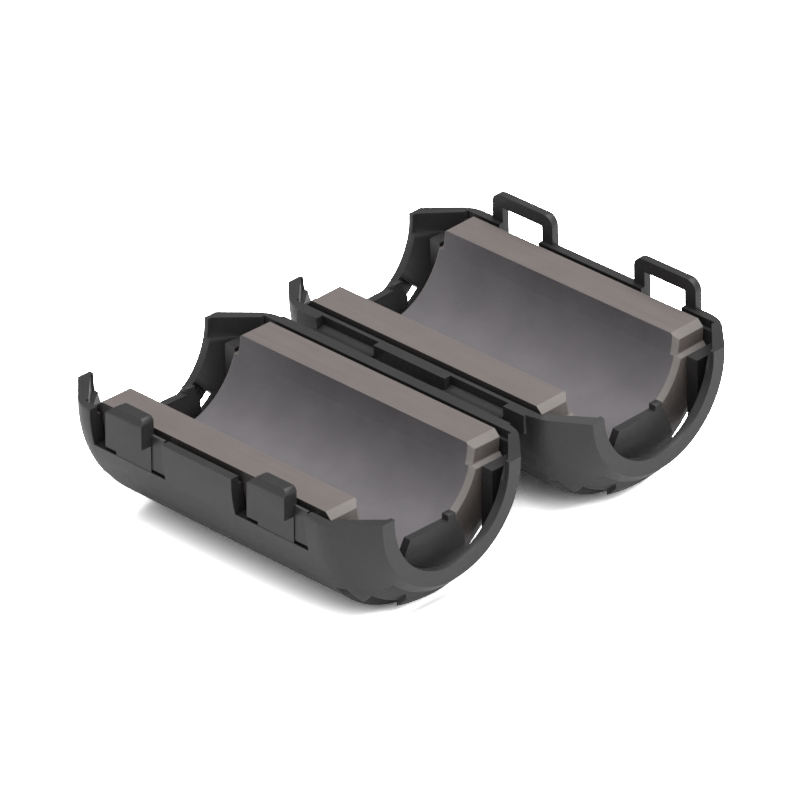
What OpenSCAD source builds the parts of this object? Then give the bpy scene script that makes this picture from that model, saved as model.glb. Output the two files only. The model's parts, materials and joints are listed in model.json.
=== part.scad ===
// Clip-on ferrite bead, lying open on its back.
// Two half shells, each holding half of a ferrite tube, hinge on two thin webs and clip together
// with two square loops over two catches. X runs along the cable, Y from the base half to the
// cover half and Z up. The origin is on the cable axis, level with the base core's flat face.

/* [Cable and core] */
// Diameter of the cable passage through the ferrite
bore_d = 13; // [11.5:0.1:13.6]
// Outer width of a ferrite half across its flat faces
core_w = 19.8; // [18:0.1:20.4]
// Overall length of a ferrite half
core_len = 28.6; // [26:0.1:32]
// Length of the step at each end of a ferrite half
core_step_len = 0.45; // [0.4:0.05:1]
// Depth of that step below the flat face
core_step_depth = 1.9; // [1:0.1:3]
// Chamfer on the ferrite's end edges
core_chamfer = 0.6; // [0.3:0.05:0.8]
// Chamfer round the mouths of the cable passage
bore_chamfer = 0.45; // [0.3:0.05:0.8]
// Gap between the closed ferrite faces
face_gap = 0.05; // [0.02:0.01:0.1]

/* [Shell] */
// Overall length over the end rings
shell_len = 36; // [34:0.5:44]
// Clearance between the ferrite and the shell
core_gap = 0.2; // [0.1:0.05:0.3]
// Wall of the round body
wall = 1.25; // [1:0.05:1.6]
// Clearance between the ferrite's ends and the tapers
end_gap = 0.3; // [0.2:0.05:0.6]
// How far the round back is let down below the flat faces
back_drop = 0.5; // [0.3:0.05:1]
// How far the rim lies below the ferrite's flat face
rim_drop = 0.15; // [0.1:0.05:0.3]
// Extra gap beside the ferrite along the rims
rim_gap = 0.4; // [0.2:0.05:0.45]
// Rounding where the round body runs into its tapered ends
taper_round = 3; // [1:0.25:4]
// Diameter of the cable opening in an end ring
ring_d = 13.4; // [12:0.1:14]
// Wall of an end ring
ring_wall = 1.4; // [1:0.1:2]
// Length of the straight land inside an end ring
ring_land = 0.8; // [0.6:0.1:1.2]
// Depth of the rebate inside the end rings above the ledge
ring_rebate = 0.35; // [0.2:0.05:0.5]

/* [Cable grips] */
// Half width of a grip tongue at its tip
tongue_tip = 2.65; // [2:0.05:3]
// Half width of a grip tongue at its root
tongue_root = 3.5; // [3.2:0.1:4.5]
// Height of a tongue's tip below the flat faces
tongue_top = 4.6; // [3.6:0.1:5.2]
// Thickness of a tongue
tongue_t = 0.75; // [0.6:0.05:0.9]
// Distance of a tongue's outer face from the end of its ring
tongue_back = 2.2; // [2:0.1:2.4]
// Half angle of the slot between the body and the grip's bridge
inner_slot_angle = 53; // [45:1:55]
// Half angle of the slot between the grip's bridge and the ring
outer_slot_angle = 44; // [38:1:48]

/* [Catches and loops] */
// Distance between the two catches along the body
catch_pitch = 16.8; // [15:0.1:18]
// Width of a loop
loop_w = 7.2; // [6:0.1:7.6]
// Height of a loop above its rim
loop_h = 2.65; // [2.3:0.05:3]
// Thickness of a loop
loop_t = 0.75; // [0.6:0.05:0.85]
// Width of a loop's legs
loop_leg = 1.25; // [1:0.05:1.5]
// Height of the bar across the top of a loop
loop_bar = 1.2; // [1:0.05:1.4]
// Depth that the loop's window runs down into the wall below the rim
loop_window_depth = 1.4; // [0.8:0.1:1.8]
// Side clearance of a loop in its pocket
pocket_gap = 0.25; // [0.15:0.05:0.5]
// Depth of a catch pocket in the outer wall
pocket_depth = 0.48; // [0.35:0.01:0.6]
// Height of a catch pocket below the rim
pocket_h = 3.5; // [3.3:0.1:4]
// Width of a catch head
head_w = 4.2; // [3.6:0.1:4.4]
// Height of a catch head above the flat faces
head_top = 1.55; // [1.2:0.05:1.8]
// Width of the open slot on the left of a catch's spring tab
tab_slot = 1.2; // [0.8:0.1:1.4]
// Width of the slit on the tab's right and of the notches under it
tab_slit = 0.25; // [0.2:0.05:0.4]
// How far a catch head stands out past the wall
head_out = 0.6; // [0.5:0.05:0.8]
// Clearance between a catch and the closed loop
catch_play = 0.08; // [0.04:0.02:0.14]

/* [Hinge] */
// Distance between the two cable axes when the halves lie flat
axis_pitch = 24.8; // [24.6:0.1:26]
// Spring-back angle that keeps the halves slightly raised when they lie open
rest_angle = 2.2; // [0:0.1:5]
// Thickness of a hinge web
web_t = 0.35; // [0.25:0.05:0.4]
// Length of a hinge web along the body
web_len = 6.8; // [5:0.1:7.4]
// Distance between the middles of the hinge webs
web_pitch = 15.2; // [14:0.1:16]
// Width of the rim bands on the hinge side
hinge_rim_w = 1.5; // [1.3:0.05:1.6]
// Height of the rim bands on the hinge side
hinge_rim_h = 1.8; // [1.4:0.1:2.2]
// How far the cover's rim is set back at a web
web_recess = 0.7; // [0.5:0.05:0.8]

/* [Hidden] */
$fn = 128;
eps = 0.01;
big = 100;

// Ferrite
core_r = core_w / 2;
bore_r = bore_d / 2;
core_end = core_len / 2;
core_face_end = core_end - core_step_len;
step_chamfer = core_chamfer / 2;

// Shell, as radii about the let-down axis and places along X
seat_r = core_r + core_gap;
shell_r = seat_r + wall;
body_end = core_end + end_gap;
ring_end = shell_len / 2;
ring_r = ring_d / 2;
ring_out_r = ring_r + ring_wall;
land_start = ring_end - ring_land;
taper_angle = atan2(shell_r - ring_out_r, ring_end - body_end);
taper_round_start = body_end - taper_round * tan(taper_angle / 2);
taper_round_steps = 6;
rim_relief_z = -0.9;
rib_w = 2.1;
rib_reach = 1.2;
rib_inner_y = bore_r + 0.5;
rib_clearance = 0.05;
end_rim_drop = 0.75;

// Grips
tongue_x = ring_end - tongue_back;
tongue_mid = 3.3;
tongue_mid_drop = 1.2;
tongue_foot_h = 4.2;
tongue_flank_h = 1.4;
tongue_depth = 2;
foot_start_drop = 1.6;
foot_swell = 0.3;
ear_w = 0.85;
ear_h = 0.5;
bridge_in = tongue_x - tongue_t + 0.15;
bridge_out = tongue_x + 0.35;
bridge_sink = 0.5;
inner_slot_start = body_end - 1.1;
outer_slot_end = ring_end - 0.75;

// Catches and loops, with Y measured outwards from a half's own cable axis
pocket_floor = shell_r - pocket_depth;
pocket_w = loop_w + 2 * pocket_gap;
tab_left = 0.35 - pocket_w / 2;
tab_slot_left = tab_left - tab_slot;
wing_setback = 0.1;
loop_in = pocket_floor + catch_play;
loop_out = loop_in + loop_t;
loop_window_h = loop_h - loop_bar;
loop_window_w = loop_w - 2 * loop_leg;
loop_skirt = 1.8;
loop_fairing = 0.9;
loop_round = 1;
ledge_z = rim_drop + face_gap - loop_window_h + catch_play;
head_face = shell_r + head_out;
head_back = seat_r + rim_gap;
head_round = 1.1;
head_small_round = 0.5;
head_slope_h = 0.7;
head_slope_w = 0.35;

// Hinge
hinge_y = axis_pitch / 2;
hinge_z = face_gap / 2;
web_x = web_pitch / 2;
rim_edge = seat_r + hinge_rim_w;
web_drop = 0.75;
web_turn = 240;
web_steps = 14;

function web_end(side) = [side * web_x - web_len / 2, side * web_x + web_len / 2];

// ---- Helpers ----

// Turns a profile drawn as [place along X, radius] round the cable axis
module revolve(points) {
    rotate([0, 90, 0])
        rotate_extrude()
            polygon([for (p = points) [p[1], p[0]]]);
}

// A half-round trough: the profile turned about the let-down axis and carried straight up to top_z
module half_round(points, top_z) {
    intersection() {
        translate([0, 0, -back_drop]) revolve(points);
        translate([-big / 2, -big / 2, -big - back_drop]) cube([big, big, big]);
    }
    translate([0, 0, -back_drop])
        linear_extrude(top_z + back_drop)
            polygon(concat(points, [for (i = [len(points) - 1 : -1 : 0]) [points[i][0], -points[i][1]]]));
}

// Everything between two heights
module layer(z0, z1) {
    translate([-big / 2, -big / 2, z0]) cube([big, big, z1 - z0]);
}

// Puts a shape at both ends, the second one mirrored
module both_ends() {
    children();
    mirror([1, 0, 0]) children();
}

// Puts a shape at both catch places
module at_catches() {
    for (x = [-catch_pitch / 2, catch_pitch / 2])
        translate([x, 0, 0]) children();
}

// Carries the cover half from its closed-up frame to where it lies open
module as_cover() {
    translate([0, hinge_y, hinge_z])
        rotate([rest_angle, 0, 0])
            translate([0, hinge_y, -hinge_z])
                mirror([0, 1, 0]) children();
}

// An upright plate outline with its two top corners rounded, drawn from its bottom middle
module arched_plate(w, h, r_left, r_right) {
    difference() {
        translate([-w / 2, 0]) square([w, h]);
        translate([-w / 2, h]) corner_waste(r_left);
        translate([w / 2, h]) mirror([1, 0]) corner_waste(r_right);
    }
}

// What a rounding tool takes off a corner that points up and left
module corner_waste(r) {
    difference() {
        translate([-eps, -r]) square([r + eps, r + eps]);
        translate([r, -r]) circle(r, $fn = 48);
    }
}

// ---- Ferrite ----

module core_body() {
    difference() {
        half_round([[-core_end, 0], [-core_end, core_r], [core_end, core_r], [core_end, 0]], 0);
        rotate([0, 90, 0]) cylinder(h = big, r = bore_r, center = true);
        both_ends() core_end_cuts();
    }
}

module core_end_cuts() {
    // Step under the flat face
    translate([core_face_end, -big / 2, -core_step_depth]) cube([big, big, big]);
    // Chamfers round the mouth of the bore, above and below the step
    intersection() {
        bore_mouth(core_face_end);
        layer(-core_step_depth, big);
    }
    bore_mouth(core_end);
    // Chamfers along the end edges of the flat face and of the step
    end_chamfer(core_face_end, 0, core_chamfer);
    end_chamfer(core_end, -core_step_depth, step_chamfer);
}

module bore_mouth(x) {
    translate([x - bore_chamfer, 0, 0]) rotate([0, 90, 0])
        cylinder(h = 2 * bore_chamfer, r1 = bore_r, r2 = bore_r + 2 * bore_chamfer);
}

module end_chamfer(x, z, c) {
    translate([x, big / 2, z]) rotate([90, 0, 0])
        linear_extrude(big) polygon([[-c, eps], [-c, 0], [0, -c], [eps, -c], [eps, eps]]);
}

// ---- Shell shared by both halves, hinge on +Y ----

// The rounded run from the body into a taper, on the end that points to side
function taper_run(side) =
    [for (i = [0 : taper_round_steps])
        let (turn = taper_angle * (side > 0 ? i : taper_round_steps - i) / taper_round_steps)
            [side * (taper_round_start + taper_round * sin(turn)), shell_r - taper_round * (1 - cos(turn))]];

module shell_outside() {
    half_round(concat([[-ring_end, 0], [-ring_end, ring_out_r]], taper_run(-1), taper_run(1),
                      [[ring_end, ring_out_r], [ring_end, 0]]), -rim_drop);
}

module shell_inside() {
    half_round([[-ring_end - 1, 0], [-ring_end - 1, ring_r], [-land_start, ring_r], [-body_end, seat_r],
                [body_end, seat_r], [land_start, ring_r], [ring_end + 1, ring_r], [ring_end + 1, 0]], 1);
}

// Widens the inside of the ends above the ledge
module end_rebate() {
    intersection() {
        half_round([[body_end, 0], [body_end, seat_r], [land_start + ring_rebate, ring_r + ring_rebate],
                    [land_start + ring_rebate, 0]], 1);
        layer(-core_step_depth, 1);
    }
}

// A pie slice of the wall, used to cut the slots beside a grip's bridge
module wall_slot(x0, x1, half_angle) {
    translate([0, 0, -back_drop])
        rotate([0, 90, 0])
            translate([0, 0, x0])
                linear_extrude(x1 - x0)
                    polygon([[0, 0], for (a = [-half_angle : half_angle / 4 : half_angle + eps])
                             [big * cos(a), big * sin(a)]]);
}

// A spring tongue that presses on the cable, with an ear at the end of its tip that points to side
module grip_tongue(side) {
    root_z = -tongue_top - tongue_foot_h;
    intersection() {
        union() {
            translate([tongue_x, 0, 0]) rotate([90, 0, -90])
                linear_extrude(tongue_t)
                    polygon([[-tongue_tip, -tongue_top], [tongue_tip, -tongue_top],
                             [tongue_mid, -tongue_top - tongue_mid_drop],
                             [tongue_root, root_z + tongue_flank_h], [tongue_root, root_z - tongue_depth],
                             [-tongue_root, root_z - tongue_depth], [-tongue_root, root_z + tongue_flank_h],
                             [-tongue_mid, -tongue_top - tongue_mid_drop]]);
            translate([tongue_x - tongue_t, side * (tongue_tip - ear_w / 2) - ear_w / 2, -tongue_top - ear_h])
                cube([tongue_t, ear_w, 2 * ear_h]);
            // Foot that thickens the tongue where it stands on the bridge
            translate([tongue_x, 0, 0]) rotate([90, 0, 0])
                linear_extrude(2 * tongue_root, center = true)
                    polygon([[-eps, -tongue_top - foot_start_drop],
                             [foot_swell, -tongue_top - foot_start_drop - 1],
                             [bridge_out - tongue_x, root_z], [bridge_out - tongue_x, root_z - tongue_depth],
                             [-eps, root_z - tongue_depth]]);
        }
        shell_outside();
    }
}

// Ribs in the corners of the tapers that keep the ferrite from sliding
module corner_rib(side) {
    intersection() {
        translate([body_end, side * (rib_inner_y + rib_w) - rib_w, -big])
            cube([rib_reach, 2 * rib_w, big - core_step_depth - rib_clearance]);
        shell_outside();
    }
}

module shell_half(ear_side) {
    difference() {
        shell_outside();
        shell_inside();
        rim_relief();
        both_ends() {
            end_rebate();
            intersection() {
                wall_slot(inner_slot_start, bridge_in, inner_slot_angle);
                below_seat();
            }
            wall_slot(bridge_out, outer_slot_end, outer_slot_angle);
            // The bridge between the slots lies a little inside the taper
            difference() {
                wall_slot(inner_slot_start, outer_slot_end, outer_slot_angle);
                translate([0, 0, bridge_sink]) shell_outside();
            }
        }
    }
    both_ends() {
        grip_tongue(ear_side);
        for (side = [-1, 1]) corner_rib(side);
    }
}

// Widens the seat just under the rims
module rim_relief() {
    translate([-body_end, -seat_r - rim_gap, rim_relief_z])
        cube([2 * body_end, 2 * (seat_r + rim_gap), big]);
}

// The space under the flat faces, so that a slot cuts only the round back
module below_seat() {
    layer(-big, -back_drop);
}

// ---- Base half ----

// A shallow pocket for the loop, with the catch's spring tab as its floor. The tab is free on its left
// and right and is notched from below, so that only a stem as wide as the head holds it.
module catch_pocket() {
    bottom = -rim_drop - pocket_h;
    translate([-pocket_w / 2, -big - pocket_floor, bottom]) cube([pocket_w, big, big]);
    wall_cut(tab_slot_left, tab_left, bottom, big);
    wall_cut(pocket_w / 2 - tab_slit, pocket_w / 2, bottom, big);
    wall_cut(tab_slot_left, -head_w / 2, bottom, tab_slit);
    wall_cut(head_w / 2, pocket_w / 2, bottom, tab_slit);
    // The tab's two sides lie a little behind its stem
    for (x = [tab_left, head_w / 2])
        translate([x, -big - pocket_floor + wing_setback, bottom])
            cube([x < 0 ? -head_w / 2 - tab_left : (pocket_w - head_w) / 2, big, big]);
}

// Cuts right through the wall between two places along the body
module wall_cut(x0, x1, z, h) {
    translate([x0, -big, z]) cube([x1 - x0, big - seat_r + 1, h]);
}

// The head over the pocket's floor, with its ledge facing down
module catch_head() {
    difference() {
        translate([0, -head_back, ledge_z]) rotate([90, 0, 0])
            linear_extrude(head_face - head_back)
                arched_plate(head_w, head_top - ledge_z, head_round, head_small_round);
        // Slope on the upper edge that leads the loop over the head
        translate([0, -head_face, head_top]) rotate([90, 0, 90])
            linear_extrude(head_w + 1, center = true)
                polygon([[-eps, -head_slope_h], [0, -head_slope_h], [head_slope_w, eps], [-eps, eps]]);
    }
}

module base_half() {
    difference() {
        union() {
            shell_half(1);
            hinge_band();
        }
        at_catches() catch_pocket();
        rim_relief();
    }
    at_catches() catch_head();
}

// A straight band along the rim on the hinge side
module hinge_band() {
    translate([-taper_round_start, seat_r + rim_gap - eps, -rim_drop - hinge_rim_h])
        cube([2 * taper_round_start, rim_edge - seat_r - rim_gap + eps, hinge_rim_h]);
}

// ---- Cover half, drawn as the mirror image of the base half ----

// A square loop standing on the outer part of the wall, with a skirt that fairs into the round back
module loop() {
    bottom = -rim_drop - loop_skirt - loop_fairing;
    difference() {
        translate([0, -loop_in, bottom]) rotate([90, 0, 0])
            linear_extrude(loop_t) arched_plate(loop_w, loop_h - rim_drop - bottom, loop_round, loop_round);
        translate([0, -loop_out, bottom]) rotate([90, 0, 90])
            linear_extrude(loop_w + 1, center = true)
                polygon([[-eps, -eps], [loop_fairing, -eps], [0, loop_fairing], [-eps, loop_fairing]]);
    }
}

module loop_window() {
    translate([-loop_window_w / 2, -loop_out - 1, -rim_drop - loop_window_depth])
        cube([loop_window_w, loop_out - seat_r + 2, loop_window_depth + loop_window_h]);
}

module cover_half() {
    difference() {
        union() {
            shell_half(-1);
            hinge_band();
            at_catches() loop();
        }
        at_catches() loop_window();
        // Set-backs that the webs drop into
        for (side = [-1, 1])
            translate([web_end(side)[0], rim_edge - web_recess, -rim_drop - hinge_rim_h - 1])
                cube([web_len, 3, hinge_rim_h + 2]);
        rim_relief();
        both_ends() end_rim_slope();
    }
}

// What is taken off a taper's rim on the hinge side, where the rim falls away towards the ring
module end_rim_slope() {
    rotate([90, 0, 180])
        mirror([1, 0, 0])
            linear_extrude(big)
                polygon([[body_end, -rim_drop], [ring_end + 1, -rim_drop - end_rim_drop], [ring_end + 1, eps],
                         [body_end, eps]]);
}

// ---- Hinge webs ----

// A thin film that leaves the base's rim level and sinks to the cover's set-back wall
module hinge_web(side) {
    y0 = rim_edge;
    y1 = axis_pitch - rim_edge + web_recess;
    z0 = -rim_drop;
    span = y1 - y0;
    function sag(t) = web_drop * (1 - cos(t * web_turn)) / (1 - cos(web_turn));
    upper = [for (i = [0 : web_steps]) [y0 + span * i / web_steps, z0 - sag(i / web_steps)]];
    lower = [for (p = [web_steps : -1 : 0]) [upper[p][0], upper[p][1] - web_t]];
    translate([web_end(side)[0], 0, 0]) rotate([90, 0, 90])
        linear_extrude(web_len) polygon(concat(upper, lower));
}

// ---- Nodes ----

module base_shell() {
    color("#4c4c4c") base_half();
}

module cover_shell() {
    color("#505050") as_cover() cover_half();
}

module base_core() {
    color("#857d7a") core_body();
}

module cover_core() {
    color("#857d7a") as_cover() core_body();
}

module hinge_web_left() {
    color("#4c4c4c") hinge_web(-1);
}

module hinge_web_right() {
    color("#4c4c4c") hinge_web(1);
}

base_shell();
cover_shell();
base_core();
cover_core();
hinge_web_left();
hinge_web_right();
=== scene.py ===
"""Clip-on ferrite bead lying open: moulded plastic case, split ferrite tube and living hinge webs."""
import json
import math

import bmesh
import bpy
from mathutils import Matrix, Vector


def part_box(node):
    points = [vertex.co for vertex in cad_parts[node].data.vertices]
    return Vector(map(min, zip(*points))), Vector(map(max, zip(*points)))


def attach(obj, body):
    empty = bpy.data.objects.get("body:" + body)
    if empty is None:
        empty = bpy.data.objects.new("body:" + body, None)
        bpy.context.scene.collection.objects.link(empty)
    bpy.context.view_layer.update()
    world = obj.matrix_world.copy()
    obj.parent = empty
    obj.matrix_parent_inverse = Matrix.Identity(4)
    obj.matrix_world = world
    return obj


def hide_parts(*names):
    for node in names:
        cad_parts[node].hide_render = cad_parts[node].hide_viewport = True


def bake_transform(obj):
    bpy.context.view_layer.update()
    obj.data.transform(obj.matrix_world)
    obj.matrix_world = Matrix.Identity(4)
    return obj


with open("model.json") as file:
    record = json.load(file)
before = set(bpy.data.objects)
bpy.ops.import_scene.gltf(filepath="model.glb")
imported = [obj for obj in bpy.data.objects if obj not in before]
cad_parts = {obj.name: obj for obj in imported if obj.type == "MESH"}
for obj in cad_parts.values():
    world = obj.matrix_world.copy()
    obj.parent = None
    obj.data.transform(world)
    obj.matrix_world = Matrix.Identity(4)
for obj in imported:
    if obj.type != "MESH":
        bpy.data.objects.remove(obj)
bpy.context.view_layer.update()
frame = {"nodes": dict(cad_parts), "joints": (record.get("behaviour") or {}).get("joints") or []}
MM = 0.001

# ---- Places on the part, in metres, in the part's own frame ----
BORE_RADIUS = 6.5 * MM
CORE_RADIUS = 9.9 * MM
HINGE = Vector(frame["joints"][0]["pos_m"])
REST_ANGLE = math.radians(180 - frame["joints"][0]["range_deg"][1])

# ---- Camera ----
CAMERA_TURN = math.radians(44.6)
CAMERA_RISE = math.radians(28.83)
CAMERA_DISTANCE = 0.700
CAMERA_TARGET = Vector((4.29, 7.80, 0)) * MM
CAMERA_LENS = 377.6
CAMERA_SENSOR = 36
CAMERA_NEAR, CAMERA_FAR = 0.01, 20

# ---- Studio: a light's place is measured from the camera's target ----
FLOOR_REACH = 3.0
FLOOR_WHITE = 0.90
FLOOR_DOUBLINGS = 2
# Painted contact shadow on the floor paper: how far the occlusion reaches and how it darkens the
# paper
CONTACT_REACH = 3.0 * MM
CONTACT_SAMPLES = 16
CONTACT_OPEN, CONTACT_SHADE = (0.15, 0.75), (0.30, 1.0)
WORLD_FRONT, WORLD_BACK, WORLD_BLEND = 0.85, 0.25, 0.6
SOFTBOX_SIZE, FILL_SIZE = 0.9, 0.4
TOP_PLACE, TOP_WATTS = Vector((0.05, 0.13, 0.75)), 13.0
LEFT_PLACE, LEFT_WATTS = Vector((-0.55, -0.45, 0.30)), 0.6
RIGHT_PLACE, RIGHT_WATTS = Vector((0.60, 0.05, 0.30)), 1.4

# ---- Finish ----
EDGE_SOFTNESS = 0.13 * MM
FERRITE_EDGE_SOFTNESS = 0.10 * MM
EDGE_SEGMENTS = 2
SHARP_ANGLE = math.radians(28)
MERGE_DISTANCE = 0.001 * MM
FLAT_ANGLE = math.radians(0.3)
BLOTCH_LOW, BLOTCH_HIGH = 0.3, 0.7

CASE_DARK, CASE_LIGHT = (0.0130, 0.0124, 0.0126), (0.0165, 0.0158, 0.0160)
CASE_SMOOTH, CASE_ROUGH, CASE_SPECULAR = 0.42, 0.50, 0.34
CASE_GRAIN, CASE_BLOTCHES = 5200.0, 170.0
CASE_BUMP, CASE_BUMP_HEIGHT = 0.25, 0.04 * MM

FERRITE_SPECULAR = 0.35
FERRITE_BLOTCHES = 260.0
FERRITE_BUMP, FERRITE_BUMP_HEIGHT = 0.35, 0.03 * MM
STREAK_STRETCH = (60, 2600, 2600)
STREAK_SHARE = 0.55

# ---- Hinge webs: a film from the base's rim down into the set-back in the cover's rim ----
WEB_LENGTH = 6.7 * MM
WEB_PITCH = 15.2 * MM
WEB_THICKNESS = 0.3 * MM
WEB_START, WEB_LEVEL = 11.35 * MM, -0.17 * MM
WEB_END = 13.95 * MM
WEB_DROP = 0.75 * MM
WEB_TURN = math.radians(240)
WEB_STEPS = 28


def cover_to_row(point):
    """Carries a point from the cover half's own frame, cable axis along X, to its open place."""
    pivot = Vector((0, HINGE.y, HINGE.z))
    from_pivot = Vector(point) + Vector((0, HINGE.y, -HINGE.z))
    return pivot + Matrix.Rotation(REST_ANGLE, 3, "X") @ from_pivot


# ---- Shader and geometry nodes ----

def feed(links, value, socket):
    """Sets a socket to a number, or joins it to another node's output."""
    if isinstance(value, (int, float)):
        socket.default_value = value
    else:
        links.new(value, socket)


def noise(nodes, links, place, scale, detail, roughness):
    node = nodes.new("ShaderNodeTexNoise")
    links.new(place, node.inputs["Vector"])
    feed(links, scale, node.inputs["Scale"])
    node.inputs["Detail"].default_value = detail
    node.inputs["Roughness"].default_value = roughness
    return node.outputs["Fac"]


def ramp(nodes, links, value, low, high, out_low=0.0, out_high=1.0):
    node = nodes.new("ShaderNodeMapRange")
    node.inputs["From Min"].default_value = low
    node.inputs["From Max"].default_value = high
    node.inputs["To Min"].default_value = out_low
    node.inputs["To Max"].default_value = out_high
    links.new(value, node.inputs["Value"])
    return node.outputs["Result"]


def math_node(nodes, links, operation, first, second):
    node = nodes.new("ShaderNodeMath")
    node.operation = operation
    feed(links, first, node.inputs[0])
    feed(links, second, node.inputs[1])
    return node.outputs["Value"]


def make_grain_group():
    """Fine grain: a height for a bump and a mask of soft blotches, both from Object coordinates."""
    tree = bpy.data.node_groups.new("fine_grain", "ShaderNodeTree")
    for label in ("Grain Scale", "Blotch Scale"):
        tree.interface.new_socket(label, in_out="INPUT", socket_type="NodeSocketFloat")
    for label in ("Height", "Blotches"):
        tree.interface.new_socket(label, in_out="OUTPUT", socket_type="NodeSocketFloat")
    nodes, links = tree.nodes, tree.links
    given = nodes.new("NodeGroupInput").outputs
    result = nodes.new("NodeGroupOutput").inputs
    place = nodes.new("ShaderNodeTexCoord").outputs["Object"]
    fine = noise(nodes, links, place, given["Grain Scale"], 4, 0.6)
    broad = noise(nodes, links, place, given["Blotch Scale"], 5, 0.55)
    links.new(fine, result["Height"])
    links.new(ramp(nodes, links, broad, BLOTCH_LOW, BLOTCH_HIGH), result["Blotches"])
    return tree


GRAIN = make_grain_group()


def add_grain(nodes, grain_scale, blotch_scale):
    node = nodes.new("ShaderNodeGroup")
    node.node_tree = GRAIN
    node.inputs["Grain Scale"].default_value = grain_scale
    node.inputs["Blotch Scale"].default_value = blotch_scale
    return node.outputs["Height"], node.outputs["Blotches"]


def mix_colours(nodes, links, mask, dark, light):
    node = nodes.new("ShaderNodeMix")
    node.data_type = "RGBA"
    links.new(mask, node.inputs["Factor"])
    node.inputs["A"].default_value = (*dark, 1)
    node.inputs["B"].default_value = (*light, 1)
    return node.outputs["Result"]


def new_material(name, roughness, specular):
    made = bpy.data.materials.new(name)
    made.use_nodes = True
    nodes, links = made.node_tree.nodes, made.node_tree.links
    shader = nodes["Principled BSDF"]
    shader.inputs["Roughness"].default_value = roughness
    shader.inputs["Specular IOR Level"].default_value = specular
    return made, nodes, links, shader


def add_bump(nodes, links, shader, height, strength, distance):
    bump = nodes.new("ShaderNodeBump")
    bump.inputs["Strength"].default_value = strength
    bump.inputs["Distance"].default_value = distance
    links.new(height, bump.inputs["Height"])
    links.new(bump.outputs["Normal"], shader.inputs["Normal"])


def case_plastic():
    """Dark satin nylon with a fine moulded grain, a little rougher in its lighter blotches."""
    made, nodes, links, shader = new_material("case_plastic", CASE_SMOOTH, CASE_SPECULAR)
    height, blotches = add_grain(nodes, CASE_GRAIN, CASE_BLOTCHES)
    links.new(mix_colours(nodes, links, blotches, CASE_DARK, CASE_LIGHT),
              shader.inputs["Base Color"])
    links.new(ramp(nodes, links, blotches, 0, 1, CASE_SMOOTH, CASE_ROUGH),
              shader.inputs["Roughness"])
    add_bump(nodes, links, shader, height, CASE_BUMP, CASE_BUMP_HEIGHT)
    return made


def add_streaks(nodes, links, blotches):
    """Faint grinding streaks along the part, laid over the blotches."""
    stretch = nodes.new("ShaderNodeMapping")
    stretch.inputs["Scale"].default_value = STREAK_STRETCH
    links.new(nodes.new("ShaderNodeTexCoord").outputs["Object"], stretch.inputs["Vector"])
    lines = noise(nodes, links, stretch.outputs["Vector"], 1.0, 4, 0.6)
    lines = ramp(nodes, links, lines, BLOTCH_LOW, BLOTCH_HIGH)
    return math_node(nodes, links, "ADD",
                     math_node(nodes, links, "MULTIPLY", lines, STREAK_SHARE),
                     math_node(nodes, links, "MULTIPLY", blotches, 1 - STREAK_SHARE))


def ferrite(name, dark, light, roughness, grain_scale, streaks=False):
    """Fired ferrite: a speckled matt ceramic. Ground faces also carry streaks."""
    made, nodes, links, shader = new_material(name, roughness, FERRITE_SPECULAR)
    height, mask = add_grain(nodes, grain_scale, FERRITE_BLOTCHES)
    if streaks:
        mask = add_streaks(nodes, links, mask)
    links.new(mix_colours(nodes, links, mask, dark, light), shader.inputs["Base Color"])
    add_bump(nodes, links, shader, height, FERRITE_BUMP, FERRITE_BUMP_HEIGHT)
    return made


PLASTIC = case_plastic()
FERRITE_FINISHES = (
    ferrite("ferrite_ground", (0.083, 0.070, 0.066), (0.100, 0.086, 0.081), 0.55, 7000.0, True),
    ferrite("ferrite_bore", (0.074, 0.068, 0.074), (0.090, 0.083, 0.089), 0.60, 5200.0),
    # Chamfers: painted lighter than the ground faces, a painted highlight where light catches them
    ferrite("ferrite_edge_painted_light", (0.112, 0.102, 0.095), (0.142, 0.131, 0.122), 0.55, 6000.0),
    # Outer skin: unground, and painted near black as painted shade where it shows in the narrow gap
    # by the rims
    ferrite("ferrite_skin_painted_shade", (0.016, 0.014, 0.014), (0.024, 0.022, 0.021), 0.65, 5200.0),
)
GROUND, BORE, LIT_EDGE, SHADED_SKIN = range(4)

# How far a face may lean along X, or lie off its radius, and still count as one of these
CHAMFER_LEAN_MIN, CHAMFER_LEAN_MAX = 0.25, 0.97
LENGTHWISE_LEAN = 0.2
BORE_TOLERANCE = 0.05 * MM
SHADED_SKIN_TOLERANCE = 0.1 * MM


# ---- Pieces ----

def new_object(name, data):
    made = bpy.data.objects.new(name, data)
    bpy.context.scene.collection.objects.link(made)
    return made


def merged_copy(node, name):
    """A copy of a CAD node's mesh with its doubles merged and its flat faces joined up."""
    mesh = frame["nodes"][node].data.copy()
    shape = bmesh.new()
    shape.from_mesh(mesh)
    bmesh.ops.remove_doubles(shape, verts=shape.verts, dist=MERGE_DISTANCE)
    bmesh.ops.dissolve_limit(shape, angle_limit=FLAT_ANGLE, verts=shape.verts, edges=shape.edges)
    shape.to_mesh(mesh)
    shape.free()
    mesh.name = name
    mesh.materials.clear()
    return new_object(name, mesh)


def settle(piece):
    """Turns a piece's modifiers into its mesh."""
    done = bpy.data.meshes.new_from_object(
        piece.evaluated_get(bpy.context.evaluated_depsgraph_get()))
    done.name = piece.name
    piece.modifiers.clear()
    piece.data = done


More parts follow.
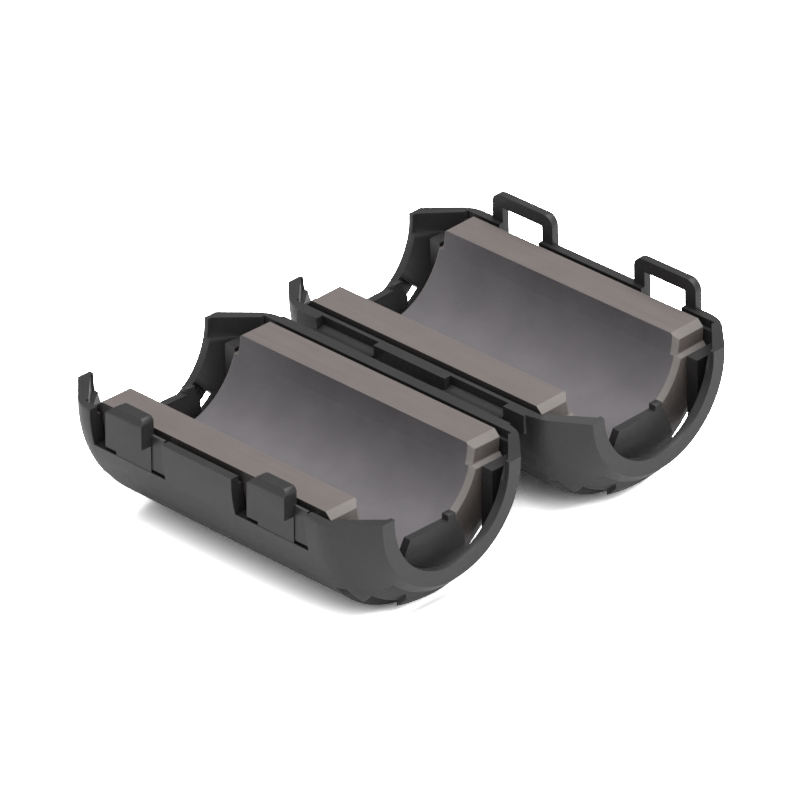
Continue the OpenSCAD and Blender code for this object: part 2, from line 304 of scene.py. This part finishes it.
def soften(piece, width):
    """Rounds every sharp edge a little, as a mould or a tumbling drum leaves it."""
    piece.data.shade_smooth()
    bevel = piece.modifiers.new("soft_edges", "BEVEL")
    bevel.width = width
    bevel.segments = EDGE_SEGMENTS
    bevel.limit_method = "ANGLE"
    bevel.angle_limit = SHARP_ANGLE
    bevel.use_clamp_overlap = True
    bevel.miter_outer = "MITER_ARC"
    even = piece.modifiers.new("even_shading", "WEIGHTED_NORMAL")
    even.mode = "FACE_AREA"
    even.weight = 100
    even.keep_sharp = True
    settle(piece)


def shell(node, name, body):
    piece = merged_copy(node, name)
    soften(piece, EDGE_SOFTNESS)
    piece.data.materials.append(PLASTIC)
    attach(piece, body)
    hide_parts(node)


def ferrite_finish(middle, normal):
    """Which finish a face of a ferrite half has, seen in that half's own frame."""
    radius = math.hypot(middle.y, middle.z)
    outwards = normal.y * middle.y + normal.z * middle.z > 0
    # Chamfers take the lighter colour painted as a painted highlight
    if CHAMFER_LEAN_MIN < abs(normal.x) < CHAMFER_LEAN_MAX:
        return LIT_EDGE
    if abs(normal.x) < LENGTHWISE_LEAN:
        if abs(radius - BORE_RADIUS) < BORE_TOLERANCE:
            return BORE
        # Outer round faces take the skin colour painted dark as painted shade
        if radius > CORE_RADIUS - SHADED_SKIN_TOLERANCE and outwards:
            return SHADED_SKIN
    return GROUND


def core(node, name, body, axis_point, turn):
    """A ferrite half whose ground faces, passage, chamfers and outer skin differ in finish; the
    chamfers are painted lighter as a painted highlight and the unground outer skin is painted dark as
    painted shade.
    """
    piece = merged_copy(node, name)
    for made in FERRITE_FINISHES:
        piece.data.materials.append(made)
    unturn = Matrix.Rotation(-turn, 3, "X")
    for face in piece.data.polygons:
        face.material_index = ferrite_finish(unturn @ (face.center - axis_point),
                                             unturn @ face.normal)
    soften(piece, FERRITE_EDGE_SOFTNESS)
    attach(piece, body)
    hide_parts(node)


shell("base_shell", "base_case", "base")
shell("cover_shell", "cover_case", "cover")
core("base_core", "base_ferrite", "base", Vector((0, 0, 0)), 0)
core("cover_core", "cover_ferrite", "cover", cover_to_row((0, 0, 0)), REST_ANGLE)


def web_tree():
    """Two equal films, each a thin closed strip that leaves one rim and sinks in a soft S."""
    tree = bpy.data.node_groups.new("hinge_webs", "GeometryNodeTree")
    for kind, label in (("Float", "Length"), ("Float", "Pitch"), ("Float", "Thickness"),
                        ("Float", "Start"), ("Float", "End"), ("Float", "Level"),
                        ("Float", "Drop"), ("Float", "Turn"), ("Int", "Steps"),
                        ("Material", "Finish")):
        tree.interface.new_socket(label, in_out="INPUT", socket_type="NodeSocket" + kind)
    tree.interface.new_socket("Webs", in_out="OUTPUT", socket_type="NodeSocketGeometry")
    nodes, links = tree.nodes, tree.links
    given = nodes.new("NodeGroupInput").outputs

    def calculate(operation, first, second=0.0):
        return math_node(nodes, links, operation, first, second)

    def vector(x=0.0, y=0.0, z=0.0):
        node = nodes.new("ShaderNodeCombineXYZ")
        for socket, value in zip(node.inputs, (x, y, z)):
            feed(links, value, socket)
        return node.outputs["Vector"]

    span = calculate("SUBTRACT", given["End"], given["Start"])
    strip = nodes.new("GeometryNodeMeshCube")
    strip.inputs["Vertices X"].default_value = 2
    links.new(given["Steps"], strip.inputs["Vertices Y"])
    strip.inputs["Vertices Z"].default_value = 2
    links.new(vector(given["Length"], span, given["Thickness"]), strip.inputs["Size"])

    # How far along the strip a point lies, from 0 to 1, and how far it has sunk there
    place = nodes.new("ShaderNodeSeparateXYZ")
    links.new(nodes.new("GeometryNodeInputPosition").outputs["Position"], place.inputs["Vector"])
    along = calculate("ADD", calculate("DIVIDE", place.outputs["Y"], span), 0.5)
    turned = calculate("COSINE", calculate("MULTIPLY", along, given["Turn"]))
    whole = calculate("SUBTRACT", 1.0, calculate("COSINE", given["Turn"]))
    share = calculate("DIVIDE", calculate("SUBTRACT", 1.0, turned), whole)
    sunk = calculate("MULTIPLY", given["Drop"], share)
    middle = calculate("MULTIPLY", calculate("ADD", given["Start"], given["End"]), 0.5)
    centre = calculate("SUBTRACT", given["Level"],
                       calculate("MULTIPLY", given["Thickness"], 0.5))
    shaped = nodes.new("GeometryNodeSetPosition")
    links.new(strip.outputs["Mesh"], shaped.inputs["Geometry"])
    links.new(vector(y=middle, z=calculate("SUBTRACT", centre, sunk)), shaped.inputs["Offset"])

    # One film at each end of a line as long as the pitch
    places = nodes.new("GeometryNodeMeshLine")
    places.mode = "END_POINTS"
    places.inputs["Count"].default_value = 2
    half = calculate("MULTIPLY", given["Pitch"], 0.5)
    links.new(vector(calculate("MULTIPLY", half, -1.0)), places.inputs["Start Location"])
    links.new(vector(half), places.inputs["Offset"])
    spread = nodes.new("GeometryNodeInstanceOnPoints")
    links.new(places.outputs["Mesh"], spread.inputs["Points"])
    links.new(shaped.outputs["Geometry"], spread.inputs["Instance"])
    real = nodes.new("GeometryNodeRealizeInstances")
    links.new(spread.outputs["Instances"], real.inputs["Geometry"])
    finish = nodes.new("GeometryNodeSetMaterial")
    links.new(real.outputs["Geometry"], finish.inputs["Geometry"])
    links.new(given["Finish"], finish.inputs["Material"])
    links.new(finish.outputs["Geometry"], nodes.new("NodeGroupOutput").inputs["Webs"])
    return tree


def make_hinge_webs():
    webs = new_object("hinge_webs", bpy.data.meshes.new("hinge_webs"))
    webs.data.materials.append(PLASTIC)
    grown = webs.modifiers.new("hinge_webs", "NODES")
    grown.node_group = web_tree()
    values = {"Length": WEB_LENGTH, "Pitch": WEB_PITCH, "Thickness": WEB_THICKNESS,
              "Start": WEB_START, "End": WEB_END, "Level": WEB_LEVEL, "Drop": WEB_DROP,
              "Turn": WEB_TURN, "Steps": WEB_STEPS, "Finish": PLASTIC}
    for socket in grown.node_group.interface.items_tree:
        if socket.in_out == "INPUT":
            grown[socket.identifier] = values[socket.name]
    settle(webs)
    webs.data.shade_smooth()
    webs.data.set_sharp_from_angle(angle=SHARP_ANGLE)
    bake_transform(webs)
    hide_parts("hinge_web_left", "hinge_web_right")


make_hinge_webs()


# ---- Floor, light and camera ----

def floor_paper():
    """White paper, shown to the camera overexposed, with a painted soft shadow where the part is
    near.
    """
    made, nodes, links, shader = new_material("floor_paper", 0.9, 0.0)
    shader.inputs["Base Color"].default_value = (FLOOR_WHITE, FLOOR_WHITE, FLOOR_WHITE, 1)
    # Painted contact shadow: ambient occlusion darkens the paper's colour near the part, for camera
    # rays only
    painted_contact_shadow = nodes.new("ShaderNodeAmbientOcclusion")
    painted_contact_shadow.samples = CONTACT_SAMPLES
    painted_contact_shadow.inputs["Distance"].default_value = CONTACT_REACH
    bright = nodes.new("ShaderNodeBsdfDiffuse")
    links.new(ramp(nodes, links, painted_contact_shadow.outputs["AO"], *CONTACT_OPEN, *CONTACT_SHADE),
              bright.inputs["Color"])
    shown = bright.outputs["BSDF"]
    for doubling in range(FLOOR_DOUBLINGS):
        twice = nodes.new("ShaderNodeAddShader")
        links.new(shown, twice.inputs[0])
        links.new(shown, twice.inputs[1])
        shown = twice.outputs["Shader"]
    choice = nodes.new("ShaderNodeMixShader")
    links.new(nodes.new("ShaderNodeLightPath").outputs["Is Camera Ray"], choice.inputs["Fac"])
    links.new(shader.outputs["BSDF"], choice.inputs[1])
    links.new(shown, choice.inputs[2])
    links.new(choice.outputs["Shader"], nodes["Material Output"].inputs["Surface"])
    return made


def make_floor():
    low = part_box("base_shell")[0].z
    corners = [(-FLOOR_REACH, -FLOOR_REACH, low), (FLOOR_REACH, -FLOOR_REACH, low),
               (FLOOR_REACH, FLOOR_REACH, low), (-FLOOR_REACH, FLOOR_REACH, low)]
    mesh = bpy.data.meshes.new("floor")
    mesh.from_pydata(corners, [], [(0, 1, 2, 3)])
    mesh.materials.append(floor_paper())
    new_object("floor", mesh)


def make_world():
    """A pale studio, bright behind the camera and dim beyond the object."""
    world = bpy.data.worlds.new("studio")
    world.use_nodes = True
    nodes, links = world.node_tree.nodes, world.node_tree.links
    towards = nodes.new("ShaderNodeVectorMath")
    towards.operation = "DOT_PRODUCT"
    links.new(nodes.new("ShaderNodeTexCoord").outputs["Generated"], towards.inputs[0])
    towards.inputs[1].default_value = (math.sin(CAMERA_TURN), -math.cos(CAMERA_TURN), 0)
    strength = ramp(nodes, links, towards.outputs["Value"],
                    -WORLD_BLEND, WORLD_BLEND, WORLD_BACK, WORLD_FRONT)
    links.new(strength, nodes["Background"].inputs["Strength"])
    nodes["Background"].inputs["Color"].default_value = (1, 1, 1, 1)
    bpy.context.scene.world = world


def area_light(name, place, size, watts):
    """A square lamp at a place measured from the camera's target, and aimed at it."""
    light = bpy.data.lights.new(name, "AREA")
    light.shape = "RECTANGLE"
    light.size = light.size_y = size
    light.energy = watts
    lamp = new_object(name, light)
    lamp.location = CAMERA_TARGET + place
    lamp.rotation_euler = (-place).to_track_quat("-Z", "Y").to_euler()


def make_camera():
    lens = bpy.data.cameras.new("camera")
    lens.lens = CAMERA_LENS
    lens.sensor_width = CAMERA_SENSOR
    lens.clip_start, lens.clip_end = CAMERA_NEAR, CAMERA_FAR
    camera = new_object("camera", lens)
    back = Vector((math.sin(CAMERA_TURN) * math.cos(CAMERA_RISE),
                   -math.cos(CAMERA_TURN) * math.cos(CAMERA_RISE), math.sin(CAMERA_RISE)))
    camera.location = CAMERA_TARGET + back * CAMERA_DISTANCE
    camera.rotation_mode = "QUATERNION"
    camera.rotation_quaternion = (-back).to_track_quat("-Z", "Y")
    bpy.context.scene.camera = camera


make_floor()
make_world()
area_light("top_softbox", TOP_PLACE, SOFTBOX_SIZE, TOP_WATTS)
area_light("left_fill", LEFT_PLACE, FILL_SIZE, LEFT_WATTS)
area_light("right_fill", RIGHT_PLACE, FILL_SIZE, RIGHT_WATTS)
make_camera()
bpy.context.scene.view_settings.view_transform = "Standard"
